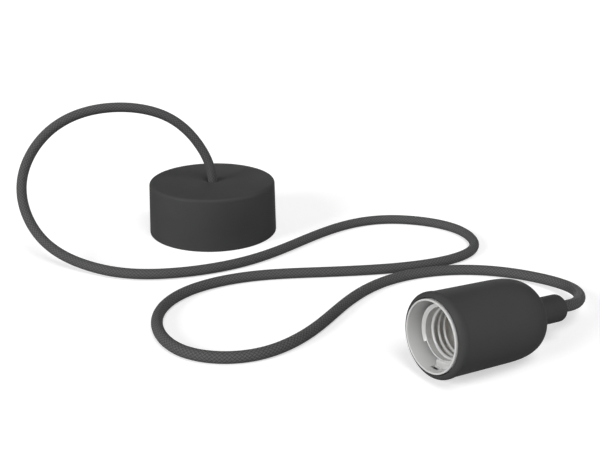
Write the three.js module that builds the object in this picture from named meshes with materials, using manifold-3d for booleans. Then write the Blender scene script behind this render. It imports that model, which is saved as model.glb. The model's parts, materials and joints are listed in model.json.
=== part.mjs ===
// Pendant cord set: a ceiling cup and a lamp holder with silicone covers, joined by a textile cord.
// Millimetres. The origin is the middle of the mounting plate's underside and +Z is up.
// Seen from above, +X is the way that the lamp holder's axis points, from its mouth to its neck.
import * as THREE from "three";
import { mergeVertices } from "three/addons/utils/BufferGeometryUtils.js";
import { NURBSCurve } from "three/addons/curves/NURBSCurve.js";
import Module from "manifold-3d";

const wasm = await Module();
wasm.setup();

// Clearance between pieces that touch
const GAP = 0.3;
// How far a cutting tool runs past the face that it cuts
const PAST = 1;

// Cord
const CORD_D = 6.5;
const CORD_SIDES = 10;
const CORD_STEPS = 80;
const CORE_D = 2;
const CORE_PITCH = 2.8;
const CORE_SIDES = 8;
const CORE_BEND = 3;
const CORE_TO_RIM = 4;

// Ceiling cup
const CUP_FOOT_R = 45;
const CUP_TOP_R = 43.9;
const CUP_H = 36.5;
const CUP_WALL = 3;
const CUP_TOP_WALL = 2.8;
const CUP_EDGE_R = 2.6;
const CUP_FOOT_EDGE = 0.6;
const CUP_SIDES = 48;
const DIMPLE_R = 9;
const DIMPLE_DEPTH = 0.8;
const CUP_HOLE_FLARE = 0.6;
const LEDGE_H = 2;
const LEDGE_IN = 1.4;

// Mounting plate
const PLATE_T = 3;
const PLATE_RIM_T = 1.8;
const PLATE_RIM_H = 5;
const SLOT_W = 5;
const SLOT_L = 13;
const SLOT_X = 27;
const ENTRY_R = 7;
const ENTRY_Y = -25;
const SADDLE_T = 8;
const SADDLE_W = 21;
const SADDLE_H = 19;
const SADDLE_SPLIT = 0.5;
const BAR_T = 4;
const BAR_H = 10;
const BAR_FROM_TOP = 1;
const CLAMP_SCREW_Y = 7.2;
const CLAMP_SCREW_R = 1.4;
const CLAMP_HEAD_R = 2.9;
const CLAMP_HEAD_H = 2.2;
const CORD_END_Z = 10;

// Terminal block
const BLOCK_TO_RIM = 2.87;
const BLOCK_L = 20;
const BLOCK_W = 18.4;
const BLOCK_H = 9;
const BLOCK_EDGE_R = 2;
const TOWER_R = 3.2;
const TOWER_H = 3;
const POLE_PITCH = 9.2;
const BARREL_R = 2.3;
const BARREL_L = 17;
const BARREL_HOLE_R = 1.3;
const BARREL_UP = 5;
const WIRE_SCREW_IN = 3.1;
const WIRE_SCREW_R = 1.2;
const WIRE_HEAD_R = 1.8;
const WIRE_HEAD_H = 1.6;
const FIXING_SCREW_R = 1;
const FIXING_HEAD_R = 1.9;
const FIXING_HEAD_H = 1.3;
const FIXING_DEPTH = 2;
const DRIVE_SLOT_W = 0.7;
const DRIVE_SLOT_DEPTH = 0.7;

// Lamp holder: lengths run along its axis from the mouth plane
const HOLDER_X = -1.2;
const HOLDER_Y = -243.45;
const HOLDER_TILT = 0.069;
const HOLDER_SIDES = 40;
const BODY_R = 21.38;
const LIP_R = 21.7;
const LIP_FRONT = -0.8;
const LIP_ROUND = 2.4;
const LIP_BACK = 3.4;
const LIP_FADE = 2;
const SHOULDER_FROM = 39;
const SHOULDER_L = 24;
const SHOULDER_END_R = 9;
const SHOULDER_POWER = 3;
const SLEEVE_WALL = 2.6;
const NECK_R = 7.42;
const NECK_END = 87.7;
const NECK_EDGE_R = 2.3;
const NECK_ROOT = 1.6;
const NECK_FLARE = 1;
const NECK_FLARE_L = 8.5;

// Lamp holder shell and its thread tube
const SHELL_WALL = 0.95;
const RIM_FRONT = -1.5;
const RIM_ROUND = 0.35;
const THREAD_PITCH = 3.629;
const THREAD_MINOR_R = 12.25;
const THREAD_MAJOR_R = 13.35;
const THREAD_FROM = 9.8;
const THREAD_TURNS = 3.25;
const THREAD_TURN_STEPS = 24;
const THREAD_RIDGE_W = 2.5;
const THREAD_START_ANGLE = -200;
const TUBE_WALL = 0.75;
const TUBE_FRONT = 6.9;
const COLLAR_R = 15.3;
const COLLAR_FRONT = 5.9;
const COLLAR_L = 3.2;
const COLLAR_CUT_FROM = -88;
const COLLAR_CUT_TO = -38;
const WEB_FROM = 24.4;
const WEB_T = 1.8;
const RIB_ANGLE = -102;
const RIB_W = 6;
const RIB_FRONT = 6.4;
const CATCH_ANGLE = -93;
const CATCH_W = 4.6;
const CATCH_FROM = 3.4;
const CATCH_L = 1.3;

// Rear cap
const CAP_WALL = 1.7;
const SPIGOT_L = 6;
const CAP_FROM = 38;
const NIPPLE_R = 5.2;
const NIPPLE_L = 5.6;
const BOSS_R = 8;
const BOSS_FROM = 48;
const CORD_END = 47;
const GRIP_SCREW_AT = 53;
const GRIP_SCREW_R = 1.6;
const GRIP_SCREW_L = 6.5;

// Contacts
const CARRIER_T = 3;
const CONTACT_Y = 8;
const CONTACT_T = 0.5;
const CONTACT_W = 5;
const CONTACT_RISE = 4.2;
const CONTACT_PAD = 5;
const RIVET_R = 1.2;
const SIDE_CONTACT_W = 4;
const SIDE_CONTACT_FRONT = 15.6;
const SIDE_CONTACT_BULGE = 0.6;
const SIDE_SLOT_CLEAR = 0.6;
const TERMINAL_L = 7;
const TERMINAL_W = 6;
const TERMINAL_H = 7;
const TERMINAL_HOLE_Z = -1.4;
const TERMINAL_HOLE_DEPTH = 5;
const TERMINAL_SCREW_R = 1.2;
const TERMINAL_HEAD_R = 2.4;
const TERMINAL_HEAD_H = 1.8;

// The cord's route between its two straight ends: control points of one cubic B-spline
const CORD_LIES = CORD_D / 2 + 0.05;
const CORD_ROUTE = [
  [0.5, -0.5, 39.5], [-3, 3, 57.5], [-23, 12, 86], [-64, 28, 93], [-102, 39, 81],
  [-130, 31, 46.5], [-125, 3, 12], [-103, -33, CORD_LIES], [-79, -63, 4],
  [-34, -74, CORD_LIES], [5, -71, CORD_LIES], [44, -57, CORD_LIES], [85, -46, CORD_LIES],
  [122, -53, CORD_LIES], [153, -92, CORD_LIES], [136, -135, CORD_LIES], [92, -138, CORD_LIES],
  [53, -126, CORD_LIES], [16, -109, CORD_LIES], [-20, -92, CORD_LIES], [-64, -90, CORD_LIES],
  [-97, -115, CORD_LIES], [-103, -163, CORD_LIES], [-67, -189, CORD_LIES], [-24, -176, CORD_LIES],
  [9, -154, CORD_LIES], [48, -139, CORD_LIES], [90, -145, CORD_LIES], [124, -168, CORD_LIES],
  [140.2, -213.5, 6], [109, -239, 13.3],
];
const CUP_STRAIGHT_STEP = 9;
const HOLDER_STRAIGHT_STEP = 15;

// Sizes that follow from the ones above
const cordHoleR = CORD_D / 2 + GAP;
const cupHoleR = cordHoleR + CUP_HOLE_FLARE;
const cupInnerR = CUP_FOOT_R - CUP_WALL;
const plateR = cupInnerR - GAP;
const rimR = cupInnerR - LEDGE_IN - GAP;
const rimInnerR = rimR - PLATE_RIM_T;
const blockY = Math.sqrt((rimInnerR - BLOCK_TO_RIM) ** 2 - (BLOCK_L / 2) ** 2) - BLOCK_W / 2;
const wireScrewX = BARREL_L / 2 - WIRE_SCREW_IN;
const cavityR = BODY_R - SLEEVE_WALL;
const shellR = cavityR - GAP;
const shellInnerR = shellR - SHELL_WALL;
const tubeR = THREAD_MAJOR_R + TUBE_WALL;
const shellEnd = CAP_FROM - GAP;
const cavityEnd = SHOULDER_FROM + SHOULDER_L - SLEEVE_WALL;
const carrierFrom = WEB_FROM + WEB_T + GAP;
const terminalFrom = carrierFrom + CARRIER_T + GAP;

const finish = {
  silicone: { color: 0x404040, roughness: 0.62 },
  textile: { color: 0x4a4a4a, roughness: 0.9 },
  thermoplastic: { color: 0xd8d8d6, roughness: 0.35 },
  polyamide: { color: 0xe6e4dc, roughness: 0.5 },
  insulator: { color: 0xe9e4d6, roughness: 0.45 },
  brass: { color: 0xb8974f, roughness: 0.3, metalness: 1 },
  steel: { color: 0xb4b6ba, roughness: 0.35, metalness: 1 },
  nylon: { color: 0xdedbd0, roughness: 0.45 },
  brown: { color: 0x5d3a22, roughness: 0.5 },
  blue: { color: 0x2c5fa8, roughness: 0.5 },
};

// A closed three.js geometry as a manifold-3d solid.
function solid(geometry) {
  const bare = geometry.clone();
  bare.deleteAttribute("normal");
  bare.deleteAttribute("uv");
  const merged = mergeVertices(bare, 1e-4);
  const corners = merged.index.array;
  const faces = [];
  for (let i = 0; i < corners.length; i += 3) {
    const [a, b, c] = [corners[i], corners[i + 1], corners[i + 2]];
    if (a !== b && b !== c && c !== a) faces.push(a, b, c);
  }
  const vertProperties = merged.attributes.position.array;
  const triVerts = new Uint32Array(faces);
  return new wasm.Manifold(new wasm.Mesh({ numProp: 3, vertProperties, triVerts }));
}

// A manifold-3d solid as a named mesh with its own material.
function piece(name, body, look) {
  const { vertProperties, triVerts, numProp, numVert } = body.getMesh();
  const positions = new Float32Array(numVert * 3);
  for (let i = 0; i < numVert; i++) {
    positions.set(vertProperties.subarray(i * numProp, i * numProp + 3), i * 3);
  }
  const geometry = new THREE.BufferGeometry();
  geometry.setAttribute("position", new THREE.BufferAttribute(positions, 3));
  geometry.setIndex(new THREE.BufferAttribute(triVerts, 1));
  geometry.computeVertexNormals();
  const mesh = new THREE.Mesh(geometry, new THREE.MeshStandardMaterial(look));
  mesh.name = name;
  return mesh;
}

// Turns a closed [radius, height] profile round the Z axis. The profile runs anticlockwise.
function turned(profile, sides) {
  const points = profile.map(([r, h]) => new THREE.Vector2(r, h));
  points.push(points[0].clone());
  return new THREE.LatheGeometry(points, sides).rotateX(Math.PI / 2);
}

// The same, round the X axis.
function turnedX(profile, sides) {
  return turned(profile, sides).rotateY(Math.PI / 2);
}

// A disc or pin on the Z axis, from one height to another.
function pin(radius, from, to, sides) {
  return new THREE.CylinderGeometry(radius, radius, to - from, sides)
    .rotateX(Math.PI / 2)
    .translate(0, 0, (from + to) / 2);
}

// The same on the X axis.
function pinX(radius, from, to, sides) {
  return pin(radius, from, to, sides).rotateY(Math.PI / 2);
}

// A block given by its lowest and highest corners.
function block([x0, y0, z0], [x1, y1, z1]) {
  return new THREE.BoxGeometry(x1 - x0, y1 - y0, z1 - z0)
    .translate((x0 + x1) / 2, (y0 + y1) / 2, (z0 + z1) / 2);
}

// Points on an arc about a centre, from one angle to another in degrees, both ends included.
function arc([cx, cy], [rx, ry], from, to, steps) {
  return Array.from({ length: steps + 1 }, (_, i) => {
    const angle = THREE.MathUtils.degToRad(from + ((to - from) * i) / steps);
    return [cx + rx * Math.cos(angle), cy + ry * Math.sin(angle)];
  });
}

// The rounded shoulder of the lamp holder as [radius, length] points, from the body to its small end.
function shoulder(from, length, bodyR, endR, steps) {
  return Array.from({ length: steps + 1 }, (_, i) => {
    const angle = (Math.PI / 2) * (i / steps);
    const along = Math.sin(angle) ** (2 / SHOULDER_POWER);
    const across = Math.max(Math.cos(angle), 0) ** (2 / SHOULDER_POWER);
    return [endR + (bodyR - endR) * across, from + length * along];
  });
}

// A round tube along a curve, closed at both ends.
function tubeAlong(path, diameter, sides, steps) {
  const section = new THREE.Shape(
    Array.from({ length: sides }, (_, i) => {
      const angle = (2 * Math.PI * i) / sides;
      return new THREE.Vector2(Math.cos(angle) * (diameter / 2), Math.sin(angle) * (diameter / 2));
    }),
  );
  return new THREE.ExtrudeGeometry(section, { steps, bevelEnabled: false, extrudePath: path });
}

// A screw on the Z axis with its head's underside at height 0 and a slot across the head.
function screw(shankR, shankL, headR, headH) {
  const headEdge = headH / 4;
  const body = turned(
    [
      [0, -shankL],
      [shankR, -shankL],
      [shankR, 0],
      [headR, 0],
      [headR, headH - headEdge],
      [headR - headEdge, headH],
      [0, headH],
    ],
    16,
  );
  const slot = block(
    [-headR - PAST, -DRIVE_SLOT_W / 2, headH - DRIVE_SLOT_DEPTH],
    [headR + PAST, DRIVE_SLOT_W / 2, headH + PAST],
  );
  return solid(body).subtract(solid(slot));
}

// The dimple round the cord's hole as [radius, height] points from the flat surface inwards.
function dimple(surface, holeR) {
  const steps = 5;
  return Array.from({ length: steps + 1 }, (_, i) => {
    const share = (i / steps) ** 0.8;
    return [DIMPLE_R + (holeR - DIMPLE_R) * share, surface - DIMPLE_DEPTH * share ** 2];
  });
}

function ceilingCup() {
  const taper = CUP_FOOT_R - CUP_TOP_R;
  const edgeZ = CUP_H - CUP_EDGE_R;
  const innerTop = CUP_H - CUP_TOP_WALL;
  const innerEdge = CUP_EDGE_R;
  const ledgeZ = PLATE_T + GAP;
  return solid(
    turned(
      [
        [cupInnerR, 0],
        [CUP_FOOT_R - CUP_FOOT_EDGE, 0],
        [CUP_FOOT_R, CUP_FOOT_EDGE],
        ...arc([CUP_TOP_R - CUP_EDGE_R, edgeZ], [CUP_EDGE_R, CUP_EDGE_R], 0, 90, 5),
        ...dimple(CUP_H, cupHoleR),
        ...dimple(innerTop, cordHoleR).reverse(),
        ...arc([cupInnerR - taper - innerEdge, innerTop - innerEdge], [innerEdge, innerEdge], 90, 0, 3),
        [cupInnerR, ledgeZ + LEDGE_H + LEDGE_IN],
        [cupInnerR - LEDGE_IN, ledgeZ + LEDGE_H],
        [cupInnerR - LEDGE_IN, ledgeZ],
        [cupInnerR, ledgeZ],
      ],
      CUP_SIDES,
    ),
  );
}

// A slot with round ends along Y, through the plate.
function plateSlot(x) {
  const middle = (SLOT_L - SLOT_W) / 2;
  const end = pin(SLOT_W / 2, -PAST, PLATE_T + PAST, 16);
  const run = solid(block([x - SLOT_W / 2, -middle, -PAST], [x + SLOT_W / 2, middle, PLATE_T + PAST]));
  return run.add(solid(end).translate(x, -middle, 0)).add(solid(end).translate(x, middle, 0));
}

function clampScrewHoles() {
  const from = -BAR_T - SADDLE_SPLIT - PAST;
  const to = SADDLE_T + SADDLE_SPLIT + PAST;
  const [left, right] = [-CLAMP_SCREW_Y, CLAMP_SCREW_Y].map((y) =>
    solid(pinX(CLAMP_SCREW_R + GAP, from, to, 16).translate(0, y, clampScrewZ())),
  );
  return left.add(right);
}

function clampScrewZ() {
  return PLATE_T + SADDLE_H - BAR_FROM_TOP - BAR_H / 2;
}

function mountingPlate() {
  const disc = solid(pin(plateR, 0, PLATE_T, CUP_SIDES));
  const rimFrom = PLATE_T / 2;
  const rim = solid(
    turned(
      [
        [rimInnerR, rimFrom],
        [rimR, rimFrom],
        [rimR, PLATE_T + PLATE_RIM_H],
        [rimInnerR, PLATE_T + PLATE_RIM_H],
      ],
      CUP_SIDES,
    ),
  );
  const saddle = solid(
    block(
      [SADDLE_SPLIT, -SADDLE_W / 2, PLATE_T / 2],
      [SADDLE_SPLIT + SADDLE_T, SADDLE_W / 2, PLATE_T + SADDLE_H],
    ),
  );
  const groove = solid(pin(cordHoleR, PLATE_T, PLATE_T + SADDLE_H + PAST, 24));
  const entry = solid(pin(ENTRY_R, -PAST, PLATE_T + PAST, 32).translate(0, ENTRY_Y, 0));
  const fixingHole = solid(
    pin(FIXING_SCREW_R + GAP, PLATE_T - FIXING_DEPTH, PLATE_T + PAST, 16).translate(0, blockY, 0),
  );
  return disc
    .add(rim)
    .add(saddle)
    .subtract(groove)
    .subtract(clampScrewHoles())
    .subtract(entry)
    .subtract(fixingHole)
    .subtract(plateSlot(-SLOT_X))
    .subtract(plateSlot(SLOT_X));
}

function cordClampBar() {
  const top = PLATE_T + SADDLE_H - BAR_FROM_TOP;
  const bar = block(
    [-SADDLE_SPLIT - BAR_T, -SADDLE_W / 2, top - BAR_H],
    [-SADDLE_SPLIT, SADDLE_W / 2, top],
  );
  const groove = pin(cordHoleR, top - BAR_H - PAST, top + PAST, 24);
  return solid(bar).subtract(solid(groove)).subtract(clampScrewHoles());
}

// A clamp screw lies along X with its head against the bar.
function clampScrew(side) {
  const mesh = piece(
    side < 0 ? "cord_clamp_screw_1" : "cord_clamp_screw_2",
    screw(CLAMP_SCREW_R, BAR_T + GAP + 2 * SADDLE_SPLIT + SADDLE_T - 1, CLAMP_HEAD_R, CLAMP_HEAD_H),
    finish.steel,
  );
  mesh.rotation.y = -Math.PI / 2;
  mesh.position.set(-SADDLE_SPLIT - BAR_T - GAP, side * CLAMP_SCREW_Y, clampScrewZ());
  return mesh;
}

// The terminal block's own frame has its middle on the plate's top face, poles along X.
function terminalHousing() {
  const half = [BLOCK_L / 2, BLOCK_W / 2];
  const outline = new THREE.Shape();
  outline.moveTo(half[0] - BLOCK_EDGE_R, -half[1]);
  outline.absarc(half[0] - BLOCK_EDGE_R, -half[1] + BLOCK_EDGE_R, BLOCK_EDGE_R, -Math.PI / 2, 0);
  outline.absarc(half[0] - BLOCK_EDGE_R, half[1] - BLOCK_EDGE_R, BLOCK_EDGE_R, 0, Math.PI / 2);
  outline.absarc(-half[0] + BLOCK_EDGE_R, half[1] - BLOCK_EDGE_R, BLOCK_EDGE_R, Math.PI / 2, Math.PI);
  outline.absarc(-half[0] + BLOCK_EDGE_R, -half[1] + BLOCK_EDGE_R, BLOCK_EDGE_R, Math.PI, 1.5 * Math.PI);
  const options = { depth: BLOCK_H, bevelEnabled: false, curveSegments: 4 };
  let body = solid(new THREE.ExtrudeGeometry(outline, options));
  for (const y of [-POLE_PITCH / 2, POLE_PITCH / 2]) {
    for (const x of [-wireScrewX, wireScrewX]) {
      body = body.add(solid(pin(TOWER_R, BLOCK_H / 2, BLOCK_H + TOWER_H, 20).translate(x, y, 0)));
    }
  }
  for (const y of [-POLE_PITCH / 2, POLE_PITCH / 2]) {
    const bore = solid(pinX(BARREL_R + GAP, -BLOCK_L / 2 - PAST, BLOCK_L / 2 + PAST, 20));
    body = body.subtract(bore.translate(0, y, BARREL_UP));
    for (const x of [-wireScrewX, wireScrewX]) {
      const well = pin(WIRE_HEAD_R + GAP, BARREL_UP, BLOCK_H + TOWER_H + PAST, 16).translate(x, y, 0);
      body = body.subtract(solid(well));
    }
  }
  return body.subtract(solid(pin(FIXING_SCREW_R + GAP, -PAST, BLOCK_H + PAST, 16)));
}

function barrel() {
  let body = solid(pinX(BARREL_R, -BARREL_L / 2, BARREL_L / 2, 20));
  body = body.subtract(solid(pinX(BARREL_HOLE_R, -BARREL_L / 2 - PAST, BARREL_L / 2 + PAST, 16)));
  for (const x of [-wireScrewX, wireScrewX]) {
    body = body.subtract(solid(pin(WIRE_SCREW_R + GAP, 0, BARREL_R + PAST, 16).translate(x, 0, 0)));
  }
  return body;
}

// The terminal block with its barrels and screws, in a group of its own.
function terminalBlock() {
  const group = new THREE.Group();
  group.position.set(0, blockY, PLATE_T + GAP);
  group.add(piece("terminal_housing", terminalHousing(), finish.polyamide));
  for (const [y, pole] of [[-POLE_PITCH / 2, "live"], [POLE_PITCH / 2, "neutral"]]) {
    const brass = piece("terminal_barrel_" + pole, barrel(), finish.brass);
    brass.position.set(0, y, BARREL_UP);
    group.add(brass);
    for (const [x, end] of [[-wireScrewX, "cord"], [wireScrewX, "mains"]]) {
      const shank = BARREL_R - BARREL_HOLE_R + GAP;
      const wireScrew = screw(WIRE_SCREW_R, shank, WIRE_HEAD_R, WIRE_HEAD_H);
      const mesh = piece("wire_screw_" + pole + "_" + end, wireScrew, finish.steel);
      mesh.position.set(x, y, BARREL_UP + BARREL_R + GAP);
      group.add(mesh);
    }
  }
  const fixing = screw(FIXING_SCREW_R, BLOCK_H + GAP + FIXING_DEPTH, FIXING_HEAD_R, FIXING_HEAD_H);
  const mesh = piece("terminal_fixing_screw", fixing, finish.steel);
  mesh.position.z = BLOCK_H + GAP;
  group.add(mesh);
  return group;
}

// One insulated core of the cord, along a smooth curve through its points.
function core(name, points, look) {
  const path = new THREE.CatmullRomCurve3(points.map((p) => new THREE.Vector3(...p)));
  return piece(name, solid(tubeAlong(path, CORE_D, CORE_SIDES, 18)), look);
}

// The cores in the ceiling cup turn from the cord's end to the terminal block's near ends.
function cupCores() {
  const z = PLATE_T + GAP + BARREL_UP;
  const floor = PLATE_T + CORE_D;
  const mouth = -BLOCK_L / 2;
  const end = -BARREL_L / 2 + WIRE_SCREW_IN + WIRE_SCREW_R / 2;
  const [liveY, neutralY] = [blockY - POLE_PITCH / 2, blockY + POLE_PITCH / 2];
  const start = CORD_END_Z - GAP;
  const widest = rimInnerR - CORE_TO_RIM;
  const swung = (share, degrees, height) => {
    const angle = THREE.MathUtils.degToRad(degrees);
    return [widest * share * Math.cos(angle), widest * share * Math.sin(angle), height];
  };
  const live = [
    [0, CORE_PITCH / 2, start],
    [0, CORE_PITCH / 2, start - CORE_BEND / 3],
    [-CORE_BEND * 0.4, CORE_PITCH / 2, start - CORE_BEND * 0.93],
    swung(0.162, 153, floor),
    swung(0.418, 146, floor),
    swung(0.65, 141, floor + CORE_BEND * 0.47),
    swung(0.752, 131, z),
    [mouth - CORE_BEND, liveY, z],
    [mouth - CORE_BEND / 6, liveY, z],
    [end, liveY, z],
  ];
  const neutral = [
    [0, -CORE_PITCH / 2, start],
    [0, -CORE_PITCH / 2, start - CORE_BEND / 3],
    [-CORE_BEND * 0.4, -CORE_PITCH / 2, start - CORE_BEND * 0.93],
    swung(0.176, 190, floor),
    swung(0.486, 163, floor),
    swung(0.82, 148, floor + CORE_BEND / 3),
    swung(1, 130, z),
    [mouth - CORE_BEND * 1.67, neutralY, z],
    [mouth - CORE_BEND / 6, neutralY, z],
    [end, neutralY, z],
  ];
  return [core("core_live_cup", live, finish.brown), core("core_neutral_cup", neutral, finish.blue)];
}

// The sleeve's outer outline as [radius, length] points, from the lip's inner edge to the neck's end.
function sleeveOutline() {
  const lipTurn = LIP_FRONT + LIP_ROUND;
  return [
    [cavityR, LIP_FRONT + LIP_ROUND / 4],
    ...arc([LIP_R - LIP_ROUND, lipTurn], [LIP_ROUND, LIP_ROUND], -90, 0, 5),
    [LIP_R, LIP_BACK],
    [BODY_R, LIP_BACK + LIP_FADE],
    ...shoulder(SHOULDER_FROM, SHOULDER_L, BODY_R, SHOULDER_END_R, 12),
    ...arc(
      [NECK_R + NECK_ROOT, SHOULDER_FROM + SHOULDER_L + NECK_ROOT],
      [NECK_ROOT, NECK_ROOT],
      -100,
      -180,
      3,
    ),
    ...arc([NECK_R - NECK_EDGE_R, NECK_END - NECK_EDGE_R], [NECK_EDGE_R, NECK_EDGE_R], 0, 90, 5),
  ];
}

function siliconeSleeve() {
  const innerShoulder = shoulder(SHOULDER_FROM, cavityEnd - SHOULDER_FROM, cavityR, NIPPLE_R + GAP, 10);
  return solid(
    turnedX(
      [
        ...sleeveOutline(),
        [cordHoleR + NECK_FLARE, NECK_END],
        [cordHoleR, NECK_END - NECK_FLARE_L],
        [cordHoleR, cavityEnd + NIPPLE_L + GAP],
        [NIPPLE_R + GAP, cavityEnd + NIPPLE_L + GAP],
        [NIPPLE_R + GAP, cavityEnd],
        ...innerShoulder.slice(0, -1).reverse(),
      ],
      HOLDER_SIDES,
    ),
  );
}

// A wedge about the X axis, from one angle to another in degrees, to cut arcs out of rings.
function wedge(fromAngle, toAngle, from, to, radius) {
  const outline = new THREE.Shape();
  outline.moveTo(0, 0);
  for (const [y, z] of arc([0, 0], [radius, radius], fromAngle, toAngle, 8)) outline.lineTo(y, z);
  // The outline's own axes turn into Y and Z, and its depth into X.
  const turn = new THREE.Matrix4().makeBasis(
    new THREE.Vector3(0, 1, 0),
    new THREE.Vector3(0, 0, 1),
    new THREE.Vector3(1, 0, 0),
  );
  return new THREE.ExtrudeGeometry(outline, { depth: to - from, bevelEnabled: false })
    .applyMatrix4(turn)
    .translate(from, 0, 0);
}

// A block that stands out from the X axis at an angle in degrees.
function spoke(angle, width, rFrom, rTo, from, to) {
  return block([from, rFrom, -width / 2], [to, rTo, width / 2]).rotateX(THREE.MathUtils.degToRad(angle));
}

// The thread's ridge: a rounded section swept along a right-hand helix, which fades in and out.
function threadRidge() {
  const sink = 0.6 * TUBE_WALL;
  const section = arc([0, -sink], [THREAD_RIDGE_W / 2, THREAD_MAJOR_R - THREAD_MINOR_R + sink], 180, 0, 6);
  const steps = Math.round(THREAD_TURNS * THREAD_TURN_STEPS);
  const count = section.length;
  const positions = [];
  for (let i = 0; i <= steps; i++) {
    const turns = (i / steps) * THREAD_TURNS;
    const angle = THREE.MathUtils.degToRad(THREAD_START_ANGLE) + 2 * Math.PI * turns;
    const fade = Math.min(1, 0.15 + 4 * Math.min(turns, THREAD_TURNS - turns));
    for (const [along, inward] of section) {
      const r = THREAD_MAJOR_R - (inward > 0 ? inward * fade : inward);
      const x = THREAD_FROM + THREAD_PITCH * turns + along;
      positions.push(x, r * Math.cos(angle), r * Math.sin(angle));
    }
  }
  const faces = [];
  for (let i = 0; i < steps; i++) {
    for (let j = 0; j < count; j++) {
      const [a, b] = [i * count + j, i * count + ((j + 1) % count)];
      faces.push(a, b, a + count, b, b + count, a + count);
    }
  }
  for (let j = 1; j < count - 1; j++) {
    const last = steps * count;
    faces.push(0, j + 1, j, last, last + j, last + j + 1);
  }
  const geometry = new THREE.BufferGeometry();
  geometry.setAttribute("position", new THREE.Float32BufferAttribute(positions, 3));
  geometry.setIndex(faces);
  return geometry;
}

function collar() {
  const ring = solid(
    turnedX(
      [
        [tubeR - TUBE_WALL / 2, TUBE_FRONT],
        [COLLAR_R, COLLAR_FRONT],
        [COLLAR_R, COLLAR_FRONT + COLLAR_L],
        [tubeR - TUBE_WALL / 2, COLLAR_FRONT + COLLAR_L],
      ],
      HOLDER_SIDES,
    ),
  );
  const cutTo = COLLAR_FRONT + COLLAR_L + PAST;
  const cut = wedge(COLLAR_CUT_FROM, COLLAR_CUT_TO, COLLAR_FRONT - PAST, cutTo, COLLAR_R + PAST);
  return ring.subtract(solid(cut));
}

function lampholderShell() {
  const skirt = solid(
    turnedX(
      [
        [shellInnerR, RIM_FRONT + RIM_ROUND],
        [shellInnerR + RIM_ROUND, RIM_FRONT],
        [shellR - RIM_ROUND, RIM_FRONT],
        [shellR, RIM_FRONT + RIM_ROUND],
        [shellR, shellEnd],
        [shellInnerR, shellEnd],
        [shellInnerR, WEB_FROM + WEB_T],
        [THREAD_MINOR_R + GAP, WEB_FROM + WEB_T],
        [THREAD_MINOR_R + GAP, WEB_FROM],
        [THREAD_MAJOR_R, WEB_FROM],
        [THREAD_MAJOR_R, TUBE_FRONT],
        [tubeR, TUBE_FRONT],
        [tubeR, WEB_FROM],
        [shellInnerR, WEB_FROM],
      ],
      HOLDER_SIDES,
    ),
  );
  const ribEnd = WEB_FROM + WEB_T / 2;
  const [ribFromR, ribToR] = [tubeR - TUBE_WALL / 2, shellInnerR + SHELL_WALL / 2];
  const rib = spoke(RIB_ANGLE, RIB_W, ribFromR, ribToR, RIB_FRONT, ribEnd);
  const catchEnd = CATCH_FROM + CATCH_L;
  const hole = spoke(CATCH_ANGLE, CATCH_W, shellInnerR - PAST, shellR + PAST, CATCH_FROM, catchEnd);
  const slotW = SIDE_CONTACT_W + 2 * SIDE_SLOT_CLEAR;
  const slotFrom = SIDE_CONTACT_FRONT - SIDE_SLOT_CLEAR;
  const slotEnd = WEB_FROM + WEB_T + PAST;
  const sideSlot = spoke(180, slotW, THREAD_MINOR_R - 2 * PAST, tubeR + PAST, slotFrom, slotEnd);
  return skirt
    .add(solid(threadRidge()))
    .add(collar())
    .add(solid(rib))
    .subtract(solid(hole))
    .subtract(solid(sideSlot));
}

function rearCap() {
  const spigotR = shellInnerR - GAP;
  const domeL = SHOULDER_L - SLEEVE_WALL - GAP;
  const body = solid(
    turnedX(
      [
        [spigotR - CAP_WALL, CAP_FROM - SPIGOT_L],
        [spigotR, CAP_FROM - SPIGOT_L],
        [spigotR, CAP_FROM],
        [shellR, CAP_FROM],
        ...shoulder(SHOULDER_FROM, domeL, shellR, NIPPLE_R, 10),
        [NIPPLE_R, cavityEnd + NIPPLE_L],
        [cordHoleR, cavityEnd + NIPPLE_L],
        [cordHoleR, BOSS_FROM],
        [BOSS_R, BOSS_FROM],
        ...shoulder(SHOULDER_FROM, domeL - CAP_WALL, spigotR - CAP_WALL, BOSS_R, 8).reverse(),
      ],
      HOLDER_SIDES,
    ),
  );
  const hole = pin(GRIP_SCREW_R + GAP, 0, GRIP_SCREW_L + cordHoleR, 16).translate(GRIP_SCREW_AT, 0, 0);
  return body.subtract(solid(hole));
}

// A grub screw that stands radially on the cord.
function gripScrew() {
  const body = pin(GRIP_SCREW_R, 0, GRIP_SCREW_L, 16);
  const slot = block(
    [-GRIP_SCREW_R - PAST, -DRIVE_SLOT_W / 2, GRIP_SCREW_L - DRIVE_SLOT_DEPTH],
    [GRIP_SCREW_R + PAST, DRIVE_SLOT_W / 2, GRIP_SCREW_L + PAST],
  );
  const mesh = piece("grip_screw", solid(body).subtract(solid(slot)), finish.nylon);
  mesh.position.set(GRIP_SCREW_AT, 0, cordHoleR);
  return mesh;
}

function contactCarrier() {
  let body = solid(pinX(shellInnerR - GAP, carrierFrom, carrierFrom + CARRIER_T, HOLDER_SIDES));
  for (const y of [-CONTACT_Y, CONTACT_Y]) {
    const hole = pinX(RIVET_R + GAP, carrierFrom - PAST, carrierFrom + CARRIER_T + PAST, 16);
    body = body.subtract(solid(hole.translate(0, y, 0)));
  }
  return body;
}

// A bent strip: an outline in X and Y with a thickness, as wide as asked along Z, with its rivet.
function bentContact(outline, width, rivetY) {
  const shape = new THREE.Shape(outline.map(([x, y]) => new THREE.Vector2(x, y)));
  const strip = new THREE.ExtrudeGeometry(shape, { depth: width, bevelEnabled: false });
  strip.translate(0, 0, -width / 2);
  const rivetFrom = carrierFrom - GAP - CONTACT_T / 2;
  const rivet = pinX(RIVET_R, rivetFrom, carrierFrom + CARRIER_T, 12).translate(0, rivetY, 0);
  return solid(strip).add(solid(rivet));
}

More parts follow.
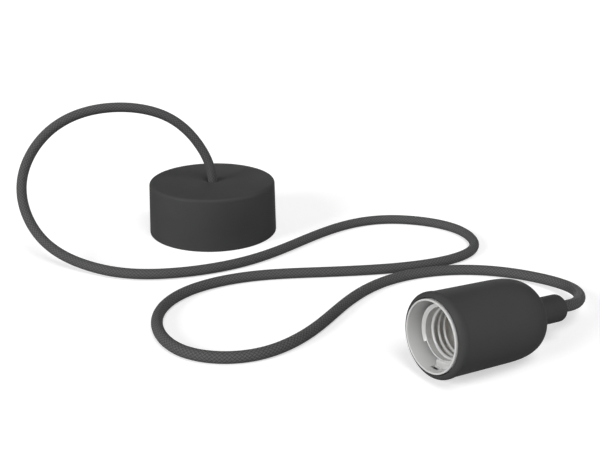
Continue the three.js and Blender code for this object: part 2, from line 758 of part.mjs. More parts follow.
function centreContact() {
  const back = carrierFrom - GAP;
  const tip = back - CONTACT_RISE;
  const foot = CONTACT_Y + RIVET_R + 0.5;
  const bend = CONTACT_PAD / 2 + 1.5;
  return bentContact(
    [
      [back, foot],
      [back - CONTACT_T, foot],
      [back - CONTACT_T, bend],
      [tip, CONTACT_PAD / 2],
      [tip, -CONTACT_PAD / 2],
      [tip + 1, -CONTACT_PAD / 2 - 1],
      [tip + 1 + CONTACT_T, -CONTACT_PAD / 2 - 0.6],
      [tip + CONTACT_T, -CONTACT_PAD / 2 + 0.3],
      [tip + CONTACT_T, CONTACT_PAD / 2 - 0.3],
      [back, bend - 0.4],
    ],
    CONTACT_W,
    CONTACT_Y,
  );
}

function sideContact() {
  const back = carrierFrom - GAP;
  const outer = -(THREAD_MINOR_R - GAP);
  const mid = (SIDE_CONTACT_FRONT + back) / 2;
  return bentContact(
    [
      [back, -CONTACT_Y + RIVET_R + 0.5],
      [back, outer],
      [mid, outer + SIDE_CONTACT_BULGE],
      [SIDE_CONTACT_FRONT, outer],
      [SIDE_CONTACT_FRONT, outer + CONTACT_T],
      [mid, outer + SIDE_CONTACT_BULGE + CONTACT_T],
      [back - CONTACT_T, outer + CONTACT_T],
      [back - CONTACT_T, -CONTACT_Y + RIVET_R + 0.5],
    ],
    SIDE_CONTACT_W,
    -CONTACT_Y,
  );
}

// A brass terminal behind the carrier with a wire hole from the rear and its screw from above.
function holderTerminal(side, pole) {
  const y = side * CONTACT_Y;
  const group = new THREE.Group();
  group.position.set(terminalFrom, y, 0);
  const body = block([0, -TERMINAL_W / 2, -TERMINAL_H / 2], [TERMINAL_L, TERMINAL_W / 2, TERMINAL_H / 2]);
  const wireHole = pinX(CORE_D / 2 + GAP, TERMINAL_L - TERMINAL_HOLE_DEPTH, TERMINAL_L + PAST, 16)
    .translate(0, 0, TERMINAL_HOLE_Z);
  const screwX = TERMINAL_L - TERMINAL_HOLE_DEPTH / 2;
  const screwHole = pin(TERMINAL_SCREW_R + GAP, TERMINAL_HOLE_Z, TERMINAL_H / 2 + PAST, 16);
  screwHole.translate(screwX, 0, 0);
  const brass = solid(body).subtract(solid(wireHole)).subtract(solid(screwHole));
  group.add(piece("holder_terminal_" + pole, brass, finish.brass));
  const reach = TERMINAL_H / 2 + GAP - (TERMINAL_HOLE_Z + CORE_D / 2 + GAP);
  const clamp = screw(TERMINAL_SCREW_R, reach, TERMINAL_HEAD_R, TERMINAL_HEAD_H);
  const mesh = piece("holder_terminal_screw_" + pole, clamp, finish.steel);
  mesh.position.set(screwX, 0, TERMINAL_H / 2 + GAP);
  group.add(mesh);
  return group;
}

// The cores in the lamp holder spread from the cord's end to the two terminals.
function holderCore(side, name, look) {
  const start = CORD_END - GAP;
  const end = terminalFrom + TERMINAL_L - TERMINAL_HOLE_DEPTH / 2;
  return core(
    name,
    [
      [start, (side * CORE_PITCH) / 2, 0],
      [start - CORE_BEND / 3, (side * CORE_PITCH) / 2, 0],
      [start - CORE_BEND, side * (CORE_PITCH + CORE_D) * 0.5, TERMINAL_HOLE_Z * 0.3],
      [start - CORE_BEND * 2, side * (CONTACT_Y - CORE_D), TERMINAL_HOLE_Z * 0.86],
      [terminalFrom + TERMINAL_L + 1, side * CONTACT_Y, TERMINAL_HOLE_Z],
      [terminalFrom + TERMINAL_L - 1, side * CONTACT_Y, TERMINAL_HOLE_Z],
      [end, side * CONTACT_Y, TERMINAL_HOLE_Z],
    ],
    look,
  );
}

// A point on the lamp holder's axis, at a length from its mouth.
function onHolderAxis(length) {
  const { x, y, z } = holderMouth();
  return [x + length * Math.cos(HOLDER_TILT), y, z - length * Math.sin(HOLDER_TILT)];
}

function textileCord() {
  const points = [
    ...[0, 1, 2].map((i) => [0, 0, CORD_END_Z + i * CUP_STRAIGHT_STEP]),
    ...CORD_ROUTE,
    ...[3, 2, 1, 0].map((i) => onHolderAxis(CORD_END + i * HOLDER_STRAIGHT_STEP)),
  ];
  const degree = 3;
  const spans = points.length - degree;
  const inner = Array.from({ length: spans - 1 }, (_, i) => i + 1);
  const knots = [0, 0, 0, 0, ...inner, spans, spans, spans, spans];
  const path = new NURBSCurve(degree, knots, points.map((p) => new THREE.Vector4(...p, 1)));
  path.arcLengthDivisions = 2000;
  return piece("textile_cord", solid(tubeAlong(path, CORD_D, CORD_SIDES, CORD_STEPS)), finish.textile);
}

function ceilingRose() {
  const group = new THREE.Group();
  group.add(piece("ceiling_cup", ceilingCup(), finish.silicone));
  group.add(piece("mounting_plate", mountingPlate(), finish.thermoplastic));
  group.add(piece("cord_clamp_bar", cordClampBar(), finish.polyamide));
  group.add(clampScrew(-1), clampScrew(1));
  group.add(terminalBlock(), ...cupCores());
  return group;
}

// The lamp holder lies on its side, so its mouth's middle is as high as the sleeve reaches down.
function holderMouth() {
  const reach = sleeveOutline().map(([r, x]) => r * Math.cos(HOLDER_TILT) + x * Math.sin(HOLDER_TILT));
  return new THREE.Vector3(HOLDER_X, HOLDER_Y, Math.max(...reach));
}

function lampHolder() {
  const group = new THREE.Group();
  group.position.copy(holderMouth());
  group.rotation.y = HOLDER_TILT;
  group.add(piece("silicone_sleeve", siliconeSleeve(), finish.silicone));
  group.add(piece("lampholder_shell", lampholderShell(), finish.thermoplastic));
  group.add(piece("rear_cap", rearCap(), finish.thermoplastic), gripScrew());
  group.add(piece("contact_carrier", contactCarrier(), finish.insulator));
  group.add(piece("centre_contact", centreContact(), finish.brass));
  group.add(piece("side_contact", sideContact(), finish.brass));
  group.add(holderTerminal(1, "live"), holderTerminal(-1, "neutral"));
  group.add(holderCore(1, "core_live_holder", finish.brown));
  group.add(holderCore(-1, "core_neutral_holder", finish.blue));
  return group;
}

const cordSet = new THREE.Group();
cordSet.add(ceilingRose(), lampHolder(), textileCord());

export default cordSet;
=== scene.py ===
"""The finished look of a pendant cord set: a ceiling cup and a lamp holder, both covered in silicone,
and the textile cord between them, which lies in loose loops on a pale floor."""

import json
import logging
import math
from dataclasses import dataclass, field
from enum import Enum
from typing import Callable, Iterable, Sequence

import bmesh
import bpy
from mathutils import Euler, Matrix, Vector


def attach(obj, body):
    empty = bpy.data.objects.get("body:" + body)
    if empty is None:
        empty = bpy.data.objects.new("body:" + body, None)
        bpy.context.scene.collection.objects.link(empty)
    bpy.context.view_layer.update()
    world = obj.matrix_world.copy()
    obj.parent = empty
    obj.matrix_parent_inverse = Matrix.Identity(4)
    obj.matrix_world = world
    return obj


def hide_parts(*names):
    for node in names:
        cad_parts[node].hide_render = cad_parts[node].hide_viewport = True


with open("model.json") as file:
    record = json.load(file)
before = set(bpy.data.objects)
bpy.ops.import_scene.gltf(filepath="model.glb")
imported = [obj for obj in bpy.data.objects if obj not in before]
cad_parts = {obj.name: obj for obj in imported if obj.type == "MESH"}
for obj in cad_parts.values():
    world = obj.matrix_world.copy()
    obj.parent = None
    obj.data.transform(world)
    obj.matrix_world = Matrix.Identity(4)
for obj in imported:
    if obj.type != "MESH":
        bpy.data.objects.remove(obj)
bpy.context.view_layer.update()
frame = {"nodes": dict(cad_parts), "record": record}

MM = 0.001
BODY = "root"
# Edges that turn by more than this stay sharp.
SMOOTH_DEG = 35.0

log = logging.getLogger("pendant_cord_set")


class Slot(Enum):
    """The record's material slots."""

    SILICONE = "silicone"
    WHITE_PLASTIC = "white_plastic"
    POLYAMIDE = "polyamide"
    STEEL = "steel"
    BRASS = "brass"
    INSULATOR = "insulator"
    NYLON = "nylon"
    BROWN_CORE = "brown_core"
    BLUE_CORE = "blue_core"
    TEXTILE = "textile"


def linear(code: str) -> tuple[float, float, float, float]:
    """Turns a colour's sRGB hex code into linear light.

    Args:
        code: The colour as "#rrggbb".

    Returns:
        Red, green, blue and an alpha of 1.
    """
    parts = [int(code[i : i + 2], 16) / 255 for i in (1, 3, 5)]
    red, green, blue = (p / 12.92 if p <= 0.04045 else ((p + 0.055) / 1.055) ** 2.4 for p in parts)
    return red, green, blue, 1.0


def add_node(
    tree: bpy.types.NodeTree, kind: str, inputs: dict[str | int, object] | None = None, **settings: object
) -> bpy.types.Node:
    """Adds a node with its settings, values and links.

    Args:
        tree: The node tree that gets the node.
        kind: The node's type name.
        inputs: For each input socket, by name or place, a value or the output socket that feeds it.
        settings: The node's own properties.

    Returns:
        The new node.
    """
    node = tree.nodes.new(kind)
    for name, value in settings.items():
        setattr(node, name, value)
    for key, value in (inputs or {}).items():
        if isinstance(value, bpy.types.NodeSocket):
            tree.links.new(value, node.inputs[key])
        else:
            node.inputs[key].default_value = value
    return node


def blank_material(name: str) -> bpy.types.Material:
    """Makes a material with an empty node tree.

    Args:
        name: The material's name.

    Returns:
        The material.
    """
    material = bpy.data.materials.new(name)
    material.use_nodes = True
    material.node_tree.nodes.clear()
    return material


# Finishes


@dataclass(frozen=True)
class MouldedSilicone:
    """Moulded silicone rubber, dyed dark grey, from a blasted mould.

    To the eye it is soft and matt: a broad highlight along its rounded edges, and none on a slant.
    """

    name: str = "moulded_silicone"
    colour: str = "#3f3f3f"
    shade: str = "#393939"
    # The dye drifts a little over a few centimetres.
    cloud_mm: float = 22.0
    # A blasted mould's grain is about 0.05 mm. It is drawn coarser, so that it shows.
    grain_mm: float = 0.35
    grain_depth_mm: float = 0.012
    relief: float = 0.5
    # Seen square on, the skin has a soft sheen. Seen at a slant, its grain hides the sheen.
    roughness: tuple[float, float] = (0.48, 1.0)
    slant: tuple[float, float] = (0.15, 0.6)
    gloss: float = 0.1
    ior: float = 1.41

    def build(self) -> bpy.types.Material:
        """Makes the material: faint clouds in the dye, a mould's fine grain, and a sheen that a slant dulls.

        Returns:
            The material.
        """
        material = blank_material(self.name)
        tree = material.node_tree
        place = add_node(tree, "ShaderNodeTexCoord").outputs["Object"]
        cloud = add_node(
            tree, "ShaderNodeTexNoise", {"Vector": place, "Scale": 1 / (self.cloud_mm * MM), "Detail": 2.0}
        )
        colour = add_node(
            tree,
            "ShaderNodeMix",
            {"Factor": cloud.outputs["Fac"], 6: linear(self.shade), 7: linear(self.colour)},
            data_type="RGBA",
        )
        facing = add_node(tree, "ShaderNodeLayerWeight", {"Blend": 0.5}).outputs["Facing"]
        dull = add_node(
            tree,
            "ShaderNodeMapRange",
            {
                "Value": facing,
                "From Min": self.slant[0],
                "From Max": self.slant[1],
                "To Min": self.roughness[0],
                "To Max": self.roughness[1],
            },
        )
        grain = add_node(
            tree, "ShaderNodeTexNoise", {"Vector": place, "Scale": 1 / (self.grain_mm * MM), "Detail": 1.0}
        )
        bump = add_node(
            tree,
            "ShaderNodeBump",
            {"Height": grain.outputs["Fac"], "Strength": self.relief, "Distance": self.grain_depth_mm * MM},
        )
        shader = add_node(
            tree,
            "ShaderNodeBsdfPrincipled",
            {
                "Base Color": colour.outputs[2],
                "Roughness": dull.outputs["Result"],
                "IOR": self.ior,
                "Specular IOR Level": self.gloss,
                "Normal": bump.outputs["Normal"],
            },
        )
        add_node(tree, "ShaderNodeOutputMaterial", {"Surface": shader.outputs[0]})
        return material


@dataclass(frozen=True)
class BraidedTextile:
    """A sheath of braided polyester yarn, dyed dark grey.

    To the eye it is a dull weave of slanted strands with no highlight. The shade between the strands
    is painted into the colour, which darkens where a strand dips. The pattern reads the cord's UV map,
    whose U runs once round the cord and whose V counts metres.
    """

    name: str = "braided_textile"
    colour: str = "#575757"
    # The colour in the valleys between strands is painted shade.
    painted_valley_shade: str = "#2b2b2b"
    # A sheath this wide has 24 strands or so each way. It is drawn with fewer and wider ones, which show.
    strands: int = 10
    lay_mm: float = 24.0
    strand_depth_mm: float = 0.22
    # The yarn's filaments are under 0.03 mm. Their fuzz is drawn at ten times that.
    fibre_mm: float = 0.28
    fibre_share: float = 0.35
    relief: float = 0.7
    roughness: float = 0.9
    gloss: float = 0.05

    def build(self) -> bpy.types.Material:
        """Makes the material: two families of strands that pass over and under each other, with shade
        painted between them.

        Returns:
            The material.
        """
        material = blank_material(self.name)
        tree = material.node_tree
        uv = add_node(tree, "ShaderNodeUVMap", uv_map="sheath").outputs["UV"]
        split = add_node(tree, "ShaderNodeSeparateXYZ", {"Vector": uv})
        height = self._braid(tree, split.outputs["X"], split.outputs["Y"])
        place = add_node(tree, "ShaderNodeTexCoord").outputs["Object"]
        fibre = add_node(
            tree, "ShaderNodeTexNoise", {"Vector": place, "Scale": 1 / (self.fibre_mm * MM), "Detail": 3.0}
        )
        rough = add_node(
            tree,
            "ShaderNodeMath",
            {0: fibre.outputs["Fac"], 1: self.fibre_share, 2: height},
            operation="MULTIPLY_ADD",
        )
        # Painted shade: the colour darkens between the strands by the braid's height. The fibres add a
        # random tone.
        colour = add_node(
            tree,
            "ShaderNodeMix",
            {"Factor": rough.outputs[0], 6: linear(self.painted_valley_shade), 7: linear(self.colour)},
            data_type="RGBA",
        )
        bump = add_node(
            tree,
            "ShaderNodeBump",
            {"Height": rough.outputs[0], "Strength": self.relief, "Distance": self.strand_depth_mm * MM},
        )
        shader = add_node(
            tree,
            "ShaderNodeBsdfPrincipled",
            {
                "Base Color": colour.outputs[2],
                "Roughness": self.roughness,
                "Specular IOR Level": self.gloss,
                "Normal": bump.outputs["Normal"],
            },
        )
        add_node(tree, "ShaderNodeOutputMaterial", {"Surface": shader.outputs[0]})
        return material

    def _braid(
        self, tree: bpy.types.NodeTree, around: bpy.types.NodeSocket, along: bpy.types.NodeSocket
    ) -> bpy.types.NodeSocket:
        """Works out the braid's height.

        Args:
            tree: The material's node tree.
            around: The way round the cord, from 0 to 1.
            along: The way along the cord, in metres.

        Returns:
            A socket that is 1 on top of a strand and falls to 0 between strands.
        """
        turns = add_node(
            tree, "ShaderNodeMath", {0: along, 1: self.strands / (self.lay_mm * MM)}, operation="MULTIPLY"
        ).outputs[0]
        strands = add_node(
            tree, "ShaderNodeMath", {0: around, 1: float(self.strands)}, operation="MULTIPLY"
        ).outputs[0]
        right = add_node(tree, "ShaderNodeMath", {0: strands, 1: turns}, operation="ADD").outputs[0]
        left = add_node(tree, "ShaderNodeMath", {0: strands, 1: turns}, operation="SUBTRACT").outputs[0]
        cells = [
            add_node(tree, "ShaderNodeMath", {0: way}, operation="FLOOR").outputs[0] for way in (right, left)
        ]
        both = add_node(tree, "ShaderNodeMath", {0: cells[0], 1: cells[1]}, operation="ADD").outputs[0]
        over = add_node(tree, "ShaderNodeMath", {0: both, 1: 2.0}, operation="FLOORED_MODULO").outputs[0]
        rounds = []
        for way in (left, right):
            across = add_node(tree, "ShaderNodeMath", {0: way}, operation="FRACT").outputs[0]
            turn = add_node(tree, "ShaderNodeMath", {0: across, 1: math.pi}, operation="MULTIPLY").outputs[0]
            rounds.append(add_node(tree, "ShaderNodeMath", {0: turn}, operation="SINE").outputs[0])
        return add_node(
            tree, "ShaderNodeMix", {"Factor": over, 2: rounds[0], 3: rounds[1]}, data_type="FLOAT"
        ).outputs[0]


@dataclass(frozen=True)
class MouldedPlastic:
    """Injection-moulded plastic.

    To the eye it has an even colour, a soft gloss and the slight waviness of a moulded skin.
    """

    name: str
    colour: str
    roughness: float = 0.38
    ior: float = 1.53
    # A moulded wall sinks and rises a little every few millimetres.
    wave_mm: float = 6.0
    wave_depth_mm: float = 0.015
    relief: float = 0.4
    tone: float = 0.04

    def build(self) -> bpy.types.Material:
        """Makes the material: a faint drift in tone, and a broad, shallow waviness.

        Returns:
            The material.
        """
        material = blank_material(self.name)
        tree = material.node_tree
        place = add_node(tree, "ShaderNodeTexCoord").outputs["Object"]
        wave = add_node(
            tree, "ShaderNodeTexNoise", {"Vector": place, "Scale": 1 / (self.wave_mm * MM), "Detail": 2.0}
        )
        bright = linear(self.colour)
        dim = tuple(c * (1 - self.tone) for c in bright[:3]) + (1.0,)
        colour = add_node(
            tree, "ShaderNodeMix", {"Factor": wave.outputs["Fac"], 6: dim, 7: bright}, data_type="RGBA"
        )
        bump = add_node(
            tree,
            "ShaderNodeBump",
            {"Height": wave.outputs["Fac"], "Strength": self.relief, "Distance": self.wave_depth_mm * MM},
        )
        shader = add_node(
            tree,
            "ShaderNodeBsdfPrincipled",
            {
                "Base Color": colour.outputs[2],
                "Roughness": self.roughness,
                "IOR": self.ior,
                "Normal": bump.outputs["Normal"],
            },
        )
        add_node(tree, "ShaderNodeOutputMaterial", {"Surface": shader.outputs[0]})
        return material


@dataclass(frozen=True)
class TurnedMetal:
    """Turned or stamped metal, such as brass or zinc-plated steel.

    To the eye it has bright and dull streaks, from the marks of the tool and a little tarnish.
    """

    name: str
    colour: str
    roughness: tuple[float, float] = (0.26, 0.42)
    # Tool marks are about 0.1 mm apart. They are drawn coarser, so that they show.
    mark_mm: float = 0.4
    mark_depth_mm: float = 0.01
    mark_stretch: float = 0.15
    relief: float = 0.4
    tarnish: float = 0.14

    def build(self) -> bpy.types.Material:
        """Makes the material: tool marks along the object's length, and streaks of tarnish.

        Returns:
            The material.
        """
        material = blank_material(self.name)
        tree = material.node_tree
        place = add_node(tree, "ShaderNodeTexCoord").outputs["Object"]
        stretch = (self.mark_stretch, 1.0, 1.0)
        stretched = add_node(tree, "ShaderNodeMapping", {"Vector": place, "Scale": stretch})
        marks = add_node(
            tree,
            "ShaderNodeTexNoise",
            {"Vector": stretched.outputs[0], "Scale": 1 / (self.mark_mm * MM), "Detail": 2.0},
        )
        dull = add_node(
            tree,
            "ShaderNodeMapRange",
            {"Value": marks.outputs["Fac"], "To Min": self.roughness[0], "To Max": self.roughness[1]},
        )
        bright = linear(self.colour)
        dim = tuple(c * (1 - self.tarnish) for c in bright[:3]) + (1.0,)
        colour = add_node(
            tree, "ShaderNodeMix", {"Factor": marks.outputs["Fac"], 6: dim, 7: bright}, data_type="RGBA"
        )
        bump = add_node(
            tree,
            "ShaderNodeBump",
            {"Height": marks.outputs["Fac"], "Strength": self.relief, "Distance": self.mark_depth_mm * MM},
        )
        shader = add_node(
            tree,
            "ShaderNodeBsdfPrincipled",
            {
                "Base Color": colour.outputs[2],
                "Metallic": 1.0,
                "Roughness": dull.outputs["Result"],
                "Normal": bump.outputs["Normal"],
            },
        )
        add_node(tree, "ShaderNodeOutputMaterial", {"Surface": shader.outputs[0]})
        return material


# Modelling by hand


class Lathe:
    """Shapes a round piece about the Z axis, ring by ring, from a circle that is extruded and resized.

    Sizes are in millimetres, and a ring is a pair of its radius and its height.
    """

    def __init__(self, name: str, sides: int, first: tuple[float, float]) -> None:
        """Adds the first ring.

        Args:
            name: The new piece's name.
            sides: How many corners each ring has.
            first: The first ring.
        """
        deselect()
        low = (0, 0, first[1] * MM)
        bpy.ops.mesh.primitive_circle_add(vertices=sides, radius=first[0] * MM, location=low)
        self.piece = bpy.context.object
        self.piece.name = name
        bpy.ops.object.transform_apply(location=True, rotation=True, scale=True)
        bpy.ops.object.mode_set(mode="EDIT")
        bpy.ops.mesh.select_mode(type="EDGE")
        bpy.ops.mesh.select_all(action="SELECT")
        self.first = first
        self.last = first

    def rings(self, profile: Iterable[tuple[float, float]]) -> "Lathe":
        """Extrudes the last ring to each new one in turn.

        Args:
            profile: The new rings.

        Returns:
            The same lathe, for the next call.
        """
        for radius, height in profile:
            lift = (height - self.last[1]) * MM
            bpy.ops.mesh.extrude_region_move(TRANSFORM_OT_translate={"value": (0, 0, lift)})
            share = radius / self.last[0]
            bpy.ops.transform.resize(value=(share, share, 1), center_override=(0, 0, height * MM))
            self.last = (radius, height)
        return self

    def close(self) -> "Lathe":
        """Bridges the last ring to the first one, so that the piece is one closed skin.

        Returns:
            The same lathe, for the next call.
        """
        select_edges(self.piece, on_ring(*self.first), extend=True)
        bpy.ops.mesh.bridge_edge_loops()
        bpy.ops.mesh.select_all(action="SELECT")
        bpy.ops.mesh.normals_make_consistent(inside=False)
        return self

    def fill(self) -> "Lathe":
        """Caps the first and the last ring, so that the piece is a solid.

        Returns:
            The same lathe, for the next call.
        """
        bpy.ops.mesh.edge_face_add()
        select_edges(self.piece, on_ring(*self.first))
        bpy.ops.mesh.edge_face_add()
        bpy.ops.mesh.select_all(action="SELECT")
        bpy.ops.mesh.normals_make_consistent(inside=False)
        return self

    def round_ring(self, ring: tuple[float, float], radius: float, segments: int = 4) -> "Lathe":
        """Bevels one ring's edge.

        Args:
            ring: The ring's radius and height.
            radius: The bevel's width on each side.
            segments: How many faces the bevel has.

        Returns:
            The same lathe, for the next call.
        """
        select_edges(self.piece, on_ring(*ring))
        bpy.ops.mesh.bevel(offset=radius * MM, segments=segments, profile=0.5, affect="EDGES")
        return self

    def done(self) -> bpy.types.Object:
        """Leaves edit mode and gives the piece."""
        bpy.ops.object.mode_set(mode="OBJECT")
        return self.piece


def deselect() -> None:
    """Leaves edit mode and deselects everything."""
    if bpy.context.mode != "OBJECT":
        bpy.ops.object.mode_set(mode="OBJECT")
    bpy.ops.object.select_all(action="DESELECT")


def only(piece: bpy.types.Object) -> bpy.types.Object:
    """Selects one object alone and makes it the active one.

    Args:
        piece: The object.

    Returns:
        The same object.
    """
    deselect()
    piece.select_set(True)
    bpy.context.view_layer.objects.active = piece
    return piece


def on_ring(radius: float, height: float, slack: float = 0.01) -> Callable[[Vector], bool]:
    """Makes a test of whether a point lies on a ring about the Z axis.

    Args:
        radius: The ring's radius in millimetres.
        height: The ring's height in millimetres.
        slack: How far off a point may be, in millimetres.

    Returns:
        The test, which takes a point in metres.
    """

    def test(point: Vector) -> bool:
        """Says whether the point is on the ring."""
        off_radius = abs(math.hypot(point.x, point.y) - radius * MM)
        return off_radius < slack * MM and abs(point.z - height * MM) < slack * MM

    return test


def select_edges(piece: bpy.types.Object, test: Callable[[Vector], bool], extend: bool = False) -> None:
    """Selects the edges in edit mode whose two ends both pass a test.

    Args:
        piece: The object that is in edit mode.
        test: The test of a point in metres.
        extend: Keeps what is already selected.
    """
    if not extend:
        bpy.ops.mesh.select_all(action="DESELECT")
    mesh = bmesh.from_edit_mesh(piece.data)
    for edge in mesh.edges:
        if all(test(vertex.co) for vertex in edge.verts):
            edge.select_set(True)
    bmesh.update_edit_mesh(piece.data)


def bevelled_box(name: str, low: Sequence[float], high: Sequence[float], edge: float) -> bpy.types.Object:
    """Models a block with rounded edges.

    Args:
        name: The new piece's name.
        low: Its lowest corner in millimetres.
        high: Its highest corner in millimetres.
        edge: The width of its bevels in millimetres.

    Returns:
        The block.
    """
    deselect()
    middle = [(a + b) / 2 * MM for a, b in zip(low, high)]
    size = [(b - a) * MM for a, b in zip(low, high)]
    bpy.ops.mesh.primitive_cube_add(size=1, location=middle, scale=size)
    piece = bpy.context.object
    piece.name = name
    bpy.ops.object.transform_apply(location=True, rotation=True, scale=True)
    bpy.ops.object.mode_set(mode="EDIT")
    bpy.ops.mesh.select_all(action="SELECT")
    bpy.ops.mesh.bevel(offset=edge * MM, segments=2, profile=0.5, affect="EDGES")
    bpy.ops.object.mode_set(mode="OBJECT")
    return piece


def pin(name: str, radius: float, low: float, high: float, sides: int) -> bpy.types.Object:
    """Models a round pin along the Z axis.

    Args:
        name: The new piece's name.
        radius: Its radius in millimetres.
        low: The height of its lower end in millimetres.
        high: The height of its upper end in millimetres.
        sides: How many sides it has.

    Returns:
        The pin.
    """
    return Lathe(name, sides, (radius, low)).rings([(radius, high)]).fill().done()


class Operation(Enum):
    """What a second solid does to the first one."""

    CUT = "DIFFERENCE"
    WELD = "UNION"


def cut(piece: bpy.types.Object, cutter: bpy.types.Object) -> bpy.types.Object:
    """Cuts one object out of another and removes the cutter."""
    return combine(piece, cutter, Operation.CUT)


def weld(piece: bpy.types.Object, other: bpy.types.Object) -> bpy.types.Object:
    """Joins another solid into an object as one skin and removes the other one."""
    return combine(piece, other, Operation.WELD)


def combine(piece: bpy.types.Object, other: bpy.types.Object, operation: Operation) -> bpy.types.Object:
    """Applies a boolean modifier and removes the other object.

    Args:
        piece: The object that stays.
        other: The object that is cut out or joined in.
        operation: What the other object does.

    Returns:
        The object that stays.
    """
    only(piece)
    modifier = piece.modifiers.new("boolean", "BOOLEAN")
    modifier.operation = operation.value
    modifier.solver = "EXACT"
    modifier.object = other
    bpy.ops.object.modifier_apply(modifier=modifier.name)
    mesh = other.data
    bpy.data.objects.remove(other)
    bpy.data.meshes.remove(mesh)
    return piece


def place(piece: bpy.types.Object, location: Sequence[float], turn: Sequence[float]) -> bpy.types.Object:
    """Turns and moves a piece, and then puts its place into its mesh.

    Args:
        piece: The piece.
        location: Where its origin goes, in millimetres.
        turn: Its rotation about X, Y and Z, in radians.

    Returns:
        The same piece.
    """
    only(piece)
    piece.rotation_euler = turn
    piece.location = [x * MM for x in location]
    bpy.ops.object.transform_apply(location=True, rotation=True, scale=True)
    return piece


def finish_piece(
    piece: bpy.types.Object, material: bpy.types.Material, replaces: Sequence[str]
) -> bpy.types.Object:
    """Shades, dresses and files a finished piece.

    Args:
        piece: The piece, with its place in its mesh.
        material: Its material.
        replaces: The CAD nodes that it stands for.

    Returns:
        The same piece.
    """
    only(piece)
    bpy.ops.object.shade_smooth_by_angle(angle=math.radians(SMOOTH_DEG))
    piece.data.materials.clear()
    piece.data.materials.append(material)
    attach(piece, BODY)
    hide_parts(*replaces)
    log.info("%s: %d faces", piece.name, len(piece.data.polygons))
    return piece


def arc(
    centre: tuple[float, float], radius: float, start_deg: float, end_deg: float, steps: int
) -> list[tuple[float, float]]:
    """Lists the points of an arc.

    Args:
        centre: The arc's centre.
        radius: Its radius.
        start_deg: The angle of its first point.
        end_deg: The angle of its last point.
        steps: How many steps it has.

    Returns:
        The points, both ends included.
    """
    angles = [math.radians(start_deg + (end_deg - start_deg) * i / steps) for i in range(steps + 1)]
    return [(centre[0] + radius * math.cos(a), centre[1] + radius * math.sin(a)) for a in angles]


# The pieces


